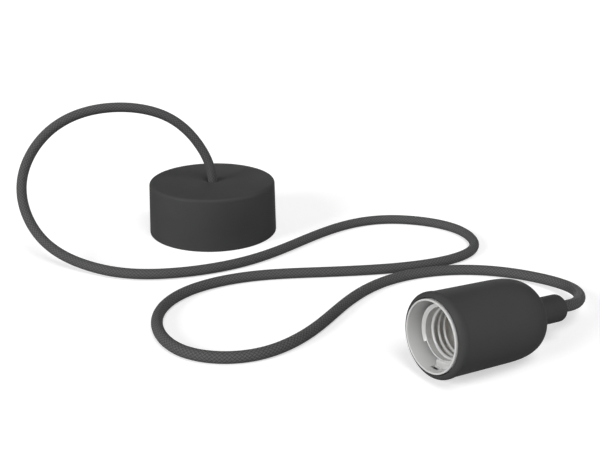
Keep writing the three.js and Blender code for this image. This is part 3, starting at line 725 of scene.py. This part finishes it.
@dataclass
class TextileCord:
    """The round textile cord, along the same route as the CAD tube. Sizes are in millimetres."""

    diameter: float = 6.5
    lies: float = 3.3
    length: float = 1285.7
    exit: tuple[float, float, float] = (0.0, 0.0, 35.7)
    sides: int = 24
    ring_step: float = 1.2
    path_step: float = 4.0
    fine_steps: int = 12000
    degree: int = 3
    controls: list[tuple[float, float, float]] = field(init=False)

    def __post_init__(self) -> None:
        """Lists the route's control points, from inside the ceiling cup to inside the lamp holder."""
        low = self.lies
        self.controls = [
            (0, 0, 10), (0, 0, 19), (0, 0, 28), (0.5, -0.5, 39.5), (-3, 3, 57.5), (-23, 12, 86),
            (-64, 28, 93), (-102, 39, 81), (-130, 31, 46.5), (-125, 3, 12), (-103, -33, low),
            (-79, -63, 4), (-34, -74, low), (5, -71, low), (44, -57, low), (85, -46, low),
            (122, -53, low), (153, -92, low), (136, -135, low), (92, -138, low), (53, -126, low),
            (16, -109, low), (-20, -92, low), (-64, -90, low), (-97, -115, low), (-103, -163, low),
            (-67, -189, low), (-24, -176, low), (9, -154, low), (48, -139, low), (90, -145, low),
            (124, -168, low), (140.2, -213.5, 6), (109, -239, 13.3), (90.58, -243.45, 18.06),
            (75.62, -243.45, 19.1), (60.65, -243.45, 20.13), (45.69, -243.45, 21.17),
        ]

    def _point(self, at: float) -> Vector:
        """Gives a point of the route, by stepwise blending on its clamped cubic spline.

        Args:
            at: How many of the spline's spans lie before the point.

        Returns:
            The point in millimetres.
        """
        count, degree = len(self.controls), self.degree
        inner = [float(i) for i in range(count - degree + 1)]
        knots = inner[:1] * degree + inner + inner[-1:] * degree
        span = min(int(at) + degree, count - 1)
        points = [Vector(self.controls[span - degree + i]) for i in range(degree + 1)]
        for level in range(1, degree + 1):
            for i in range(degree, level - 1, -1):
                left = knots[span - degree + i]
                right = knots[i + span + 1 - level]
                share = (at - left) / (right - left)
                points[i] = points[i - 1].lerp(points[i], share)
        return points[degree]

    def _walk(self, step: float) -> list[Vector]:
        """Lists points along the route at even distances.

        Args:
            step: The distance in millimetres, which is rounded so that whole steps fit.

        Returns:
            The points in metres.
        """
        share = (len(self.controls) - self.degree) / self.fine_steps
        fine = [self._point(i * share) for i in range(self.fine_steps)] + [Vector(self.controls[-1])]
        run = [0.0]
        for a, b in zip(fine, fine[1:]):
            run.append(run[-1] + (b - a).length)
        count = round(run[-1] / step)
        points, j = [], 0
        for i in range(count + 1):
            goal = run[-1] * i / count
            while j < len(run) - 2 and run[j + 1] < goal:
                j += 1
            share = (goal - run[j]) / (run[j + 1] - run[j])
            points.append(fine[j].lerp(fine[j + 1], share) * MM)
        return points

    def _rings(self, mesh: bmesh.types.BMesh, path: list[Vector]) -> list[list[bmesh.types.BMVert]]:
        """Adds the tube's rings, each square to the path and turned no more than the bend needs.

        Args:
            mesh: The mesh that gets the corners.
            path: The points that the tube follows, in metres.

        Returns:
            Each ring's corners.
        """
        radius = self.diameter / 2 * MM
        angles = [2 * math.pi * k / self.sides for k in range(self.sides)]
        tangent = (path[1] - path[0]).normalized()
        side = tangent.orthogonal().normalized()
        rings = []
        for i, point in enumerate(path):
            ahead = (path[min(i + 1, len(path) - 1)] - path[max(i - 1, 0)]).normalized()
            side = tangent.rotation_difference(ahead) @ side
            tangent = ahead
            side = (side - tangent * side.dot(tangent)).normalized()
            up = tangent.cross(side)
            corners = [point + (side * math.cos(a) + up * math.sin(a)) * radius for a in angles]
            rings.append([mesh.verts.new(corner) for corner in corners])
        return rings

    def _skin(self, mesh: bmesh.types.BMesh, rings: list[list[bmesh.types.BMVert]], step: float) -> None:
        """Adds the faces between the rings, with the UV map that the braid follows.

        Args:
            mesh: The mesh that gets the faces.
            rings: Each ring's corners.
            step: The distance between two rings, in metres.
        """
        layer = mesh.loops.layers.uv.new("sheath")
        for i, (near, far) in enumerate(zip(rings, rings[1:])):
            for k in range(self.sides):
                n = (k + 1) % self.sides
                face = mesh.faces.new((near[k], near[n], far[n], far[k]))
                corners = ((k, i), (k + 1, i), (k + 1, i + 1), (k, i + 1))
                for loop, (u, v) in zip(face.loops, corners):
                    loop[layer].uv = (u / self.sides, v * step)

    def build(self, material: bpy.types.Material) -> bpy.types.Object:
        """Args:
            material: Its material.

        Returns:
            The cord.
        """
        path = self._walk(self.ring_step)
        mesh = bmesh.new()
        rings = self._rings(mesh, path)
        self._skin(mesh, rings, (path[1] - path[0]).length)
        mesh.faces.new(list(reversed(rings[0])))
        mesh.faces.new(rings[-1])
        data = bpy.data.meshes.new("cord_sheath")
        mesh.to_mesh(data)
        mesh.free()
        piece = bpy.data.objects.new("cord_sheath", data)
        bpy.context.scene.collection.objects.link(piece)
        finish_piece(piece, material, ["textile_cord"])
        [tuple(p) for p in self._walk(self.path_step)]
        return piece


@dataclass
class CeilingCup:
    """The silicone cup over the ceiling plate, which the cord leaves through a dimple in its top.

    Sizes are in millimetres, from the ceiling's plane upwards.
    """

    foot_r: float = 45.0
    top_r: float = 43.9
    height: float = 36.5
    wall: float = 3.0
    top_wall: float = 2.8
    edge_r: float = 2.0
    foot_edge: float = 0.6
    hole_r: float = 3.45
    dimple_r: float = 9.0
    dimple_depth: float = 0.8
    dimple_power: float = 2.2
    dimple_steps: int = 8
    hole_edge: float = 0.5
    ledge_low: float = 3.3
    ledge_h: float = 2.0
    ledge_in: float = 1.4
    sides: int = 128

    def _dimple(self, surface: float, steps: int) -> list[tuple[float, float]]:
        """Lists the rings of the soft funnel round the hole, from the flat top inwards.

        Args:
            surface: The flat top's height.
            steps: How many steps the funnel has.

        Returns:
            The rings.
        """
        rings = []
        for i in range(steps + 1):
            share = i / steps
            radius = self.dimple_r + (self.hole_r - self.dimple_r) * share
            rings.append((radius, surface - self.dimple_depth * share**self.dimple_power))
        return rings

    def build(self, material: bpy.types.Material) -> bpy.types.Object:
        """Models the cup as one closed skin, from its foot over the top and back inside.

        Args:
            material: Its material.

        Returns:
            The cup.
        """
        inner = self.foot_r - self.wall
        lean = self.foot_r - self.top_r
        inner_top = self.height - self.top_wall
        ledge = inner - self.ledge_in
        lathe = Lathe("ceiling_cup_skin", self.sides, (inner, 0))
        lathe.rings([(self.foot_r, 0), (self.top_r, self.height)])
        lathe.rings(self._dimple(self.height, self.dimple_steps))
        lathe.rings(reversed(self._dimple(inner_top, self.dimple_steps // 2)))
        lathe.rings([
            (inner - lean, inner_top),
            (inner, self.ledge_low + self.ledge_h + self.ledge_in),
            (ledge, self.ledge_low + self.ledge_h),
            (ledge, self.ledge_low),
            (inner, self.ledge_low),
        ])
        lathe.close()
        lathe.round_ring((self.foot_r, 0), self.foot_edge, 3)
        lathe.round_ring((self.top_r, self.height), self.edge_r, 6)
        lathe.round_ring((self.hole_r, self.height - self.dimple_depth), self.hole_edge, 3)
        return finish_piece(lathe.done(), material, ["ceiling_cup"])


@dataclass
class MountingPlate:
    """The white plate that is screwed to the ceiling inside the cup, with the cord's saddle.

    Sizes are in millimetres, from the ceiling's plane upwards.
    """

    hub_r: float = 1.0
    radius: float = 41.7
    thickness: float = 3.0
    rim_r: float = 40.3
    rim_t: float = 1.8
    rim_h: float = 5.0
    slot_x: float = 27.0
    slot_w: float = 5.0
    slot_l: float = 13.0
    entry_r: float = 7.0
    entry_y: float = -25.0
    saddle_t: float = 8.0
    saddle_w: float = 21.0
    saddle_h: float = 19.0
    split: float = 0.5
    groove_r: float = 3.55
    screw_y: float = 7.2
    screw_z: float = 16.0
    screw_r: float = 1.7
    edge: float = 0.4
    over: float = 1.0
    sides: int = 96

    def build(self, material: bpy.types.Material) -> bpy.types.Object:
        """Models the plate: a dish with a rim, the saddle, and its holes and slots.

        Args:
            material: Its material.

        Returns:
            The plate.
        """
        top = self.thickness
        rim_top = top + self.rim_h
        inner = self.rim_r - self.rim_t
        lathe = Lathe("mounting_plate_moulding", self.sides, (self.hub_r, 0))
        lathe.rings([
            (self.radius, 0), (self.radius, top), (self.rim_r, top), (self.rim_r, rim_top),
            (inner, rim_top), (inner, top), (self.hub_r, top),
        ])
        lathe.fill()
        for ring in ((self.radius, 0), (self.rim_r, rim_top), (inner, rim_top)):
            lathe.round_ring(ring, self.edge, 2)
        plate = lathe.done()
        low = (self.split, -self.saddle_w / 2, top / 2)
        high = (self.split + self.saddle_t, self.saddle_w / 2, top + self.saddle_h)
        weld(plate, bevelled_box("saddle", low, high, self.edge))
        cut(plate, pin("groove", self.groove_r, top, high[2] + self.over, 32))
        for side in (-1, 1):
            hole = pin("screw_hole", self.screw_r, -self.over, high[0] + self.over, 24)
            cut(plate, place(hole, (0, side * self.screw_y, self.screw_z), (0, math.pi / 2, 0)))
            cut(plate, place(self._slot(), (side * self.slot_x, 0, 0), (0, 0, 0)))
        entry = pin("entry", self.entry_r, -self.over, top + self.over, 48)
        cut(plate, place(entry, (0, self.entry_y, 0), (0, 0, 0)))
        return finish_piece(plate, material, ["mounting_plate"])

    def _slot(self) -> bpy.types.Object:
        """Models a solid of a screw slot's shape: a round pin whose halves are pulled apart along Y.

        Returns:
            The solid, in the middle of the plate.
        """
        lathe = Lathe("slot", 32, (self.slot_w / 2, -self.over))
        lathe.rings([(self.slot_w / 2, self.thickness + self.over)]).fill()
        reach = (self.slot_l - self.slot_w) / 2 * MM
        mesh = bmesh.from_edit_mesh(lathe.piece.data)
        for vertex in mesh.verts:
            vertex.co.y += math.copysign(reach, vertex.co.y) if abs(vertex.co.y) > reach / 100 else 0.0
        bmesh.update_edit_mesh(lathe.piece.data)
        return lathe.done()


@dataclass
class LampHolder:
    """The lamp holder: its silicone sleeve, and the white shell with the thread inside it.

    Sizes are in millimetres, and lengths run along its axis from the mouth plane. It is modelled
    upright about the Z axis and then laid down: what was -X is then up.
    """

    mouth: tuple[float, float, float] = (-1.2, -243.45, 24.408)
    tilt: float = 0.069
    body_r: float = 21.38
    lip_r: float = 21.7
    lip_front: float = -0.5
    lip_round: float = 2.6
    lip_back: float = 3.4
    lip_fade: float = 2.0
    lip_step: float = 0.1
    shoulder_from: float = 39.0
    shoulder_l: float = 24.0
    shoulder_end_r: float = 9.0
    shoulder_power: float = 3.0
    sleeve_wall: float = 2.6
    neck_r: float = 7.42
    neck_end: float = 87.7
    neck_edge_r: float = 2.3
    neck_root: float = 1.6
    bore_r: float = 3.4
    bore_flare: float = 0.55
    bore_flare_l: float = 7.0
    nipple_r: float = 5.5
    nipple_l: float = 5.9
    shell_r: float = 18.48
    shell_wall: float = 0.95
    shell_end: float = 37.7
    rim_front: float = -1.5
    rim_round: float = 0.3
    thread_minor_r: float = 12.25
    thread_major_r: float = 13.35
    thread_pitch: float = 3.629
    thread_from: float = 9.8
    thread_turns: float = 3.25
    thread_start_deg: float = -200.0
    ridge_w: float = 1.9
    ridge_sink: float = 0.45
    ridge_sides: int = 16
    turn_steps: int = 64
    merge_gap: float = 0.0005
    tube_wall: float = 0.75
    tube_front: float = 6.9
    collar_r: float = 15.3
    collar_front: float = 5.9
    collar_l: float = 3.2
    collar_from_deg: float = -38.0
    collar_arc_deg: float = 310.0
    web_from: float = 24.4
    web_t: float = 1.8
    web_clear: float = 0.3
    tube_edge: float = 0.25
    corner_round: float = 0.6
    moulded_edge: float = 0.35
    rib_deg: float = -102.0
    rib_w: float = 10.0
    rib_front: float = 6.4
    catch_deg: float = -93.0
    catch_w: float = 4.6
    catch_from: float = 2.8
    catch_l: float = 3.0
    side_slot_w: float = 5.2
    side_slot_from: float = 15.0
    over: float = 1.0
    sides: int = 112

    def _lay_down(self, piece: bpy.types.Object) -> bpy.types.Object:
        """Lays a piece that stands on the Z axis along the holder's axis, and returns it."""
        return place(piece, self.mouth, (0, math.pi / 2 + self.tilt, 0))

    def _shoulder(self, length: float, from_r: float, to_r: float, steps: int) -> list[tuple[float, float]]:
        """Lists the rings of the rounded shoulder, from the body to its small end.

        Args:
            length: How long the shoulder is.
            from_r: Its radius where it begins.
            to_r: Its radius where it ends.
            steps: How many steps it has.

        Returns:
            The rings.
        """
        power = 2 / self.shoulder_power
        rings = []
        for i in range(steps + 1):
            angle = math.pi / 2 * i / steps
            along = math.sin(angle) ** power
            across = max(math.cos(angle), 0.0) ** power
            rings.append((to_r + (from_r - to_r) * across, self.shoulder_from + length * along))
        return rings

    def build_sleeve(self, material: bpy.types.Material) -> bpy.types.Object:
        """Models the sleeve: a rolled lip, a straight body, a rounded shoulder and a neck.

        Args:
            material: Its material.

        Returns:
            The sleeve.
        """
        cavity = self.body_r - self.sleeve_wall
        cavity_l = self.shoulder_l - self.sleeve_wall
        cavity_end = self.shoulder_from + cavity_l
        turn = self.lip_front + self.lip_round
        neck_from = self.shoulder_from + self.shoulder_l
        lathe = Lathe("sleeve_skin", self.sides, (cavity, self.lip_front + self.lip_round / 4))
        lathe.rings(arc((self.lip_r - self.lip_round, turn), self.lip_round, -90, 0, 8))
        lathe.rings([(self.lip_r, self.lip_back)])
        lathe.rings([(self.lip_r - self.lip_step, self.lip_back + self.lip_fade / 3)])
        lathe.rings([(self.body_r, self.lip_back + self.lip_fade)])
        lathe.rings([(self.body_r, self.shoulder_from * 2 / 3)])
        lathe.rings(self._shoulder(self.shoulder_l, self.body_r, self.shoulder_end_r, 26))
        root = self.neck_root
        lathe.rings(arc((self.neck_r + root, neck_from + root), root, -100, -180, 5))
        edge = self.neck_edge_r
        lathe.rings(arc((self.neck_r - edge, self.neck_end - edge), edge, 0, 90, 8))
        lathe.rings([
            (self.bore_r + self.bore_flare, self.neck_end),
            (self.bore_r, self.neck_end - self.bore_flare_l),
            (self.bore_r, cavity_end + self.nipple_l),
            (self.nipple_r, cavity_end + self.nipple_l),
        ])
        lathe.rings(reversed(self._shoulder(cavity_l, cavity, self.nipple_r, 14)))
        lathe.close().round_ring((self.bore_r + self.bore_flare, self.neck_end), self.moulded_edge, 3)
        return finish_piece(self._lay_down(lathe.done()), material, ["silicone_sleeve"])

    def _skirt(self) -> bpy.types.Object:
        """Models the shell's skirt, web and thread tube as one turned skin.

        Returns:
            The moulding, upright.
        """
        inner = self.shell_r - self.shell_wall
        tube = self.thread_major_r + self.tube_wall
        web_to = self.web_from + self.web_t
        web_hole = self.thread_minor_r + self.web_clear
        lathe = Lathe("shell_moulding", self.sides, (inner, self.rim_front))
        lathe.rings([
            (self.shell_r, self.rim_front), (self.shell_r, self.shell_end), (inner, self.shell_end),
            (inner, web_to), (web_hole, web_to), (web_hole, self.web_from),
            (self.thread_major_r, self.web_from), (self.thread_major_r, self.tube_front),
            (tube, self.tube_front), (tube, self.web_from), (inner, self.web_from),
        ])
        lathe.close()
        for ring, radius in (
            ((inner, self.rim_front), self.rim_round),
            ((self.shell_r, self.rim_front), self.rim_round),
            ((self.thread_major_r, self.tube_front), self.tube_edge),
            ((tube, self.tube_front), self.tube_edge),
            ((inner, self.web_from), self.corner_round),
        ):
            lathe.round_ring(ring, radius, 3)
        return lathe.done()

    def _collar(self) -> bpy.types.Object:
        """Models the flared collar: its section is spun about the axis, all but the gap at the bottom.

        Returns:
            The collar, upright.
        """
        inner = self.thread_major_r + self.tube_wall / 5
        back = self.collar_front + self.collar_l
        deselect()
        bpy.ops.mesh.primitive_plane_add(size=1)
        piece = bpy.context.object
        piece.name = "collar"
        bpy.ops.object.mode_set(mode="EDIT")
        mesh = bmesh.from_edit_mesh(piece.data)
        corners = [
            (inner, self.tube_front + 0.1), (self.collar_r, self.collar_front),
            (self.collar_r, back), (inner, back),
        ]
        start = math.radians(self.collar_from_deg)
        mesh.faces.ensure_lookup_table()
        for vertex, (radius, height) in zip(mesh.faces[0].verts, corners):
            vertex.co = self._at(radius, start, height)
        bmesh.update_edit_mesh(piece.data)
        bpy.ops.mesh.select_all(action="SELECT")
        bpy.ops.mesh.bevel(offset=self.moulded_edge * MM, segments=3, profile=0.5, affect="VERTICES")
        bpy.ops.mesh.select_all(action="SELECT")
        arc_rad = math.radians(self.collar_arc_deg)
        bpy.ops.mesh.spin(steps=96, angle=-arc_rad, center=(0, 0, 0), axis=(0, 0, 1))
        bpy.ops.mesh.select_all(action="SELECT")
        bpy.ops.mesh.normals_make_consistent(inside=False)
        bpy.ops.object.mode_set(mode="OBJECT")
        return piece

    @staticmethod
    def _at(radius: float, angle: float, height: float) -> Vector:
        """Gives a point of the upright holder, where angle 0 is +Y and a quarter turn is up, in metres."""
        return Vector((-radius * math.sin(angle), radius * math.cos(angle), height)) * MM

    def _ridge(self) -> bpy.types.Object:
        """Models the thread's ridge: a half-round section on a screw of the lamp thread's pitch.

        Returns:
            The ridge, upright.
        """
        tall = self.thread_major_r - self.thread_minor_r + self.ridge_sink
        deselect()
        bpy.ops.mesh.primitive_circle_add(vertices=self.ridge_sides, radius=1, fill_type="NGON")
        piece = bpy.context.object
        piece.name = "thread_ridge"
        bpy.ops.object.mode_set(mode="EDIT")
        bpy.ops.mesh.select_all(action="DESELECT")
        mesh = bmesh.from_edit_mesh(piece.data)
        start = math.radians(self.thread_start_deg)
        flat = self.thread_major_r + self.ridge_sink
        for vertex in mesh.verts:
            inward, along = vertex.co.x, vertex.co.y
            radius = flat - max(inward, 0.0) * tall
            vertex.co = self._at(radius, start, self.thread_from + along * self.ridge_w / 2)
        bmesh.update_edit_mesh(piece.data)
        bpy.ops.object.mode_set(mode="OBJECT")
        only(piece)
        screw = piece.modifiers.new("thread", "SCREW")
        screw.axis = "Z"
        screw.angle = 2 * math.pi * self.thread_turns
        screw.screw_offset = self.thread_pitch * self.thread_turns * MM
        screw.steps = int(self.thread_turns * self.turn_steps)
        screw.render_steps = screw.steps
        screw.use_merge_vertices = False
        bpy.ops.object.modifier_apply(modifier=screw.name)
        bpy.ops.object.mode_set(mode="EDIT")
        bpy.ops.mesh.select_all(action="SELECT")
        bpy.ops.mesh.remove_doubles(threshold=self.merge_gap * MM)
        bpy.ops.mesh.select_all(action="DESELECT")
        bpy.ops.mesh.select_non_manifold()
        bpy.ops.mesh.fill_holes(sides=0)
        bpy.ops.mesh.select_all(action="SELECT")
        bpy.ops.mesh.normals_make_consistent(inside=False)
        bpy.ops.object.mode_set(mode="OBJECT")
        return piece

    def _spoke(
        self,
        name: str,
        angle_deg: float,
        width: float,
        radii: tuple[float, float],
        lengths: tuple[float, float],
        edge: float,
    ) -> bpy.types.Object:
        """Models a block that stands out from the axis at an angle.

        Args:
            name: The new piece's name.
            angle_deg: Its angle, from +Y towards up.
            width: Its width across the spoke.
            radii: Where it begins and ends, from the axis.
            lengths: Where it begins and ends, along the axis.
            edge: The width of its bevels.

        Returns:
            The block, in the upright holder's frame.
        """
        low = (-width / 2, radii[0], lengths[0])
        high = (width / 2, radii[1], lengths[1])
        block = bevelled_box(name, low, high, edge)
        return place(block, (0, 0, 0), (0, 0, math.radians(angle_deg)))

    def build_shell(self, material: bpy.types.Material) -> bpy.types.Object:
        """Models the white shell with its collar, rib, catch slot, thread and side slot.

        Args:
            material: Its material.

        Returns:
            The shell.
        """
        inner = self.shell_r - self.shell_wall
        tube = self.thread_major_r + self.tube_wall
        shell = self._skirt()
        weld(shell, self._collar())
        rib_end = self.web_from + self.web_t / 2
        rib_r = (tube - self.tube_wall / 2, inner + self.shell_wall / 2)
        rib_l = (self.rib_front, rib_end)
        weld(shell, self._spoke("rib", self.rib_deg, self.rib_w, rib_r, rib_l, self.moulded_edge))
        catch_r = (inner - self.over, self.shell_r + self.over)
        catch_l = (self.catch_from, self.catch_from + self.catch_l)
        cut(shell, self._spoke("catch", self.catch_deg, self.catch_w, catch_r, catch_l, self.moulded_edge))
        weld(shell, self._ridge())
        slot_r = (self.thread_minor_r - 2 * self.over, tube + self.over)
        slot_l = (self.side_slot_from, self.web_from + self.web_t + self.over)
        cut(shell, self._spoke("side_slot", 180, self.side_slot_w, slot_r, slot_l, self.moulded_edge))
        return finish_piece(self._lay_down(shell), material, ["lampholder_shell"])


@dataclass
class InnerParts:
    """The pieces inside the cup and the lamp holder, which keep their CAD shape and get a finish."""

    subparts: list[dict] = field(default_factory=lambda: frame["record"]["subparts"])

    def dress(self, finishes: dict[Slot, bpy.types.Material]) -> None:
        """Gives each CAD node that is still shown the finish of its slot.

        Args:
            finishes: Each slot's material.
        """
        for entry in self.subparts:
            node = frame["nodes"][entry["node"]]
            if node.hide_render:
                continue
            slot = Slot(entry["material_slot"])
            node.data.materials.clear()
            node.data.materials.append(finishes[slot])
            log.info("%s: %s", node.name, finishes[slot].name)


# The studio


@dataclass(frozen=True)
class SoftLight:
    """A broad lamp, far away. A surface that faces one of level 1 shows its colour as it is written."""

    name: str
    towards: tuple[float, float, float]
    level: float
    spread_deg: float

    def add(self) -> None:
        """Adds the lamp, which shines from the direction that it lies in."""
        data = bpy.data.lights.new(self.name, "SUN")
        data.energy = math.pi * self.level
        data.angle = math.radians(self.spread_deg)
        lamp = bpy.data.objects.new(self.name, data)
        lamp.location = Vector(self.towards).normalized()
        lamp.rotation_euler = Vector(self.towards).to_track_quat("Z", "Y").to_euler()
        bpy.context.scene.collection.objects.link(lamp)


@dataclass
class Studio:
    """The camera, the floor and the lights. Lengths are in millimetres."""

    camera_at: tuple[float, float, float] = (-249.1, -524.1, 219.2)
    camera_turn_deg: tuple[float, float, float] = (69.485, -0.51, -31.377)
    focal_px: float = 857.0
    image_px: tuple[int, int] = (600, 450)
    sensor: float = 36.0
    clip_near: float = 10.0
    clip_far: float = 30000.0
    floor_size: float = 12000.0
    floor_colour: str = "#cfcfcf"
    floor_glow: float = 0.54
    room_level: float = 0.14
    key: SoftLight = SoftLight("key", (-0.92, -0.09, 0.38), 0.76, 24.0)
    top: SoftLight = SoftLight("top", (-0.11, -0.48, 0.87), 0.46, 30.0)
    fill: SoftLight = SoftLight("fill", (0.49, -0.85, 0.2), 0.26, 50.0)
    back: SoftLight = SoftLight("back", (0.66, 0.75, 0.02), 0.65, 10.0)

    def add_camera(self) -> None:
        """Adds the camera at the photograph's place and angle."""
        data = bpy.data.cameras.new("camera")
        data.sensor_width = self.sensor
        data.lens = self.focal_px / self.image_px[0] * self.sensor
        data.clip_start = self.clip_near * MM
        data.clip_end = self.clip_far * MM
        camera = bpy.data.objects.new("camera", data)
        camera.location = Vector(self.camera_at) * MM
        camera.rotation_euler = Euler([math.radians(a) for a in self.camera_turn_deg], "XYZ")
        bpy.context.scene.collection.objects.link(camera)
        bpy.context.scene.camera = camera

    def add_floor(self) -> None:
        """Adds a plain pale floor that looks white where nothing shades it."""
        deselect()
        bpy.ops.mesh.primitive_plane_add(size=self.floor_size * MM)
        floor = bpy.context.object
        floor.name = "floor"
        material = blank_material("pale_floor")
        tree = material.node_tree
        pale = add_node(tree, "ShaderNodeBsdfDiffuse", {"Color": linear(self.floor_colour)})
        share = self._seen_or_mirrored(tree)
        level = add_node(tree, "ShaderNodeMath", {0: share, 1: self.floor_glow}, operation="MULTIPLY")
        glow = add_node(tree, "ShaderNodeEmission", {"Strength": level.outputs[0]})
        both = add_node(tree, "ShaderNodeAddShader", {0: pale.outputs[0], 1: glow.outputs[0]})
        add_node(tree, "ShaderNodeOutputMaterial", {"Surface": both.outputs[0]})
        floor.data.materials.append(material)

    def add_world(self) -> None:
        """Makes the surroundings white to the camera and in reflections, and a dim soft light."""
        world = bpy.data.worlds.new("surroundings")
        bpy.context.scene.world = world
        world.use_nodes = True
        tree = world.node_tree
        tree.nodes.clear()
        white = linear("#ffffff")
        soft = add_node(tree, "ShaderNodeBackground", {"Color": white, "Strength": self.room_level})
        plain = add_node(tree, "ShaderNodeBackground", {"Color": white, "Strength": 1.0})
        mixed = add_node(
            tree,
            "ShaderNodeMixShader",
            {0: self._seen_or_mirrored(tree), 1: soft.outputs[0], 2: plain.outputs[0]},
        )
        add_node(tree, "ShaderNodeOutputWorld", {"Surface": mixed.outputs[0]})

    @staticmethod
    def _seen_or_mirrored(tree: bpy.types.NodeTree) -> bpy.types.NodeSocket:
        """Sorts rays that come to the eye, straight or by mirrors or clear solids, from those that light.

        Args:
            tree: The node tree that gets the nodes.

        Returns:
            A socket that is 1 for rays that come to the eye and 0 for the others.
        """
        path = add_node(tree, "ShaderNodeLightPath")
        seen = add_node(
            tree,
            "ShaderNodeMath",
            {0: path.outputs["Is Camera Ray"], 1: path.outputs["Is Glossy Ray"]},
            operation="MAXIMUM",
        )
        return add_node(
            tree,
            "ShaderNodeMath",
            {0: seen.outputs[0], 1: path.outputs["Is Transmission Ray"]},
            operation="MAXIMUM",
        ).outputs[0]

    def add_lights(self) -> None:
        """Adds the key light at the camera's left, the top one, the fill at the right and the one behind."""
        for light in (self.key, self.top, self.fill, self.back):
            light.add()


def make_finishes() -> dict[Slot, bpy.types.Material]:
    """Makes each slot's material.

    Returns:
        The materials by slot.
    """
    finishes = {
        Slot.SILICONE: MouldedSilicone(),
        Slot.TEXTILE: BraidedTextile(),
        # A thermoplastic polyester: white and slightly glossy.
        Slot.WHITE_PLASTIC: MouldedPlastic("moulded_polyester", "#c1c1c0", 0.3),
        # Polyamide, as terminal blocks are moulded in: off-white and dull.
        Slot.POLYAMIDE: MouldedPlastic("moulded_polyamide", "#e4e2da", 0.5),
        # A thermoset insulator: cream and slightly glossy.
        Slot.INSULATOR: MouldedPlastic("moulded_thermoset", "#a9aaac", 0.42),
        # Natural nylon: milky and dull.
        Slot.NYLON: MouldedPlastic("natural_nylon", "#dedbd0", 0.5),
        # Plasticised PVC on the cord's cores: smooth and satin.
        Slot.BROWN_CORE: MouldedPlastic("brown_pvc", "#5b3a24", 0.5),
        Slot.BLUE_CORE: MouldedPlastic("blue_pvc", "#2b5fa6", 0.5),
        Slot.BRASS: TurnedMetal("turned_brass", "#c9a961"),
        Slot.STEEL: TurnedMetal("zinc_plated_steel", "#bfc1c4"),
    }
    return {slot: finish.build() for slot, finish in finishes.items()}


def main() -> None:
    """Builds the scene: camera and cord first, then the other pieces, the floor and the lights."""
    logging.basicConfig(level=logging.INFO, format="%(name)s: %(message)s")
    bpy.context.scene.view_settings.view_transform = "Standard"
    studio = Studio()
    studio.add_camera()
    finishes = make_finishes()
    cord = TextileCord()
    cord.build(finishes[Slot.TEXTILE])
    CeilingCup().build(finishes[Slot.SILICONE])
    MountingPlate().build(finishes[Slot.WHITE_PLASTIC])
    holder = LampHolder()
    holder.build_sleeve(finishes[Slot.SILICONE])
    holder.build_shell(finishes[Slot.WHITE_PLASTIC])
    InnerParts().dress(finishes)
    studio.add_floor()
    studio.add_world()
    studio.add_lights()
    deselect()


if __name__ == "__main__":
    main()
